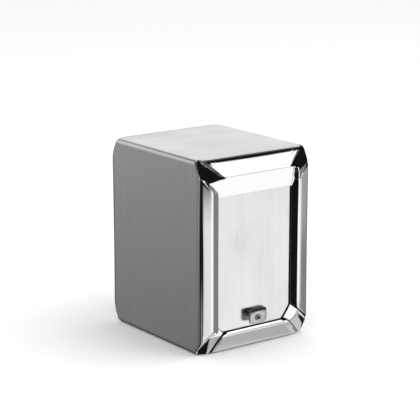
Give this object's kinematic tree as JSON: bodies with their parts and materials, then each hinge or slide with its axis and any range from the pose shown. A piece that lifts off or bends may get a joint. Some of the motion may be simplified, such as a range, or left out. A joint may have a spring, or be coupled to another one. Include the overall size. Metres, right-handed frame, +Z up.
{
  "type": "napkin dispenser",
  "caption": "Two-sided table napkin dispenser: folded stainless steel shell with a pressed, polished face frame at each end and a sprung pusher plate behind each window.",
  "frame": {"origin": "centre of the base, at the level of the table: bottom centre of the bounding box", "axes": "+Z up; -Y is the front, the face with the window towards the viewer; +X to the right seen from the front"},
  "size_m": [0.09, 0.111, 0.13],
  "materials": {
    "brushed_stainless": "brushed stainless sheet, grain along the fold",
    "polished_stainless": "mirror-polished stainless pressing",
    "satin_stainless": "satin stainless sheet",
    "tab_stainless": "dull brushed stainless strip, handled",
    "zinc_plated_steel": "zinc-plated mild steel",
    "spring_steel": "drawn spring steel"
  },
  "bodies": {
    "housing": {"base_plate": "zinc_plated_steel", "base_rivet_1": "zinc_plated_steel", "base_rivet_2": "zinc_plated_steel", "base_rivet_3": "zinc_plated_steel", "base_rivet_4": "zinc_plated_steel", "base_rivet_5": "zinc_plated_steel", "base_rivet_6": "zinc_plated_steel", "body_shell": "brushed_stainless", "centre_post": "zinc_plated_steel", "front_frame_clip_left": "spring_steel", "front_frame_clip_right": "spring_steel", "front_post_spring_seat": "zinc_plated_steel", "guide_rail": "zinc_plated_steel", "post_rivet_1": "zinc_plated_steel", "post_rivet_2": "zinc_plated_steel", "rail_rivet_1": "zinc_plated_steel", "rail_rivet_2": "zinc_plated_steel", "rail_rivet_3": "zinc_plated_steel", "rail_rivet_4": "zinc_plated_steel", "rear_frame_clip_left": "spring_steel", "rear_frame_clip_right": "spring_steel", "rear_post_spring_seat": "zinc_plated_steel", "seat_rivet": "zinc_plated_steel"},
    "front_frame": {"front_face_frame": "polished_stainless"},
    "rear_frame": {"rear_face_frame": "polished_stainless"},
    "front_pusher": {"front_pusher_plate": "satin_stainless", "front_carriage": "tab_stainless", "front_tab_rivet": "tab_stainless", "front_plate_spring_seat": "zinc_plated_steel", "front_spring": "spring_steel"},
    "rear_pusher": {"rear_pusher_plate": "satin_stainless", "rear_carriage": "tab_stainless", "rear_tab_rivet": "tab_stainless", "rear_plate_spring_seat": "zinc_plated_steel", "rear_spring": "spring_steel"}
  },
  "joints": [
    {"name": "front_pusher_slide", "type": "slide", "parent": "housing", "child": "front_pusher", "axis": [0, 1, 0], "range_m": [0, 0.036], "stiffness_N_per_m": 60, "springref_m": -0.03, "deforming": ["front_spring"]},
    {"name": "rear_pusher_slide", "type": "slide", "parent": "housing", "child": "rear_pusher", "axis": [0, -1, 0], "range_m": [0, 0.036], "stiffness_N_per_m": 60, "springref_m": -0.03, "deforming": ["rear_spring"]},
    {"name": "front_frame_pull", "type": "slide", "parent": "housing", "child": "front_frame", "axis": [0, -1, 0], "range_m": [0, 0.03]},
    {"name": "rear_frame_pull", "type": "slide", "parent": "housing", "child": "rear_frame", "axis": [0, 1, 0], "range_m": [0, 0.03]}
  ]
}
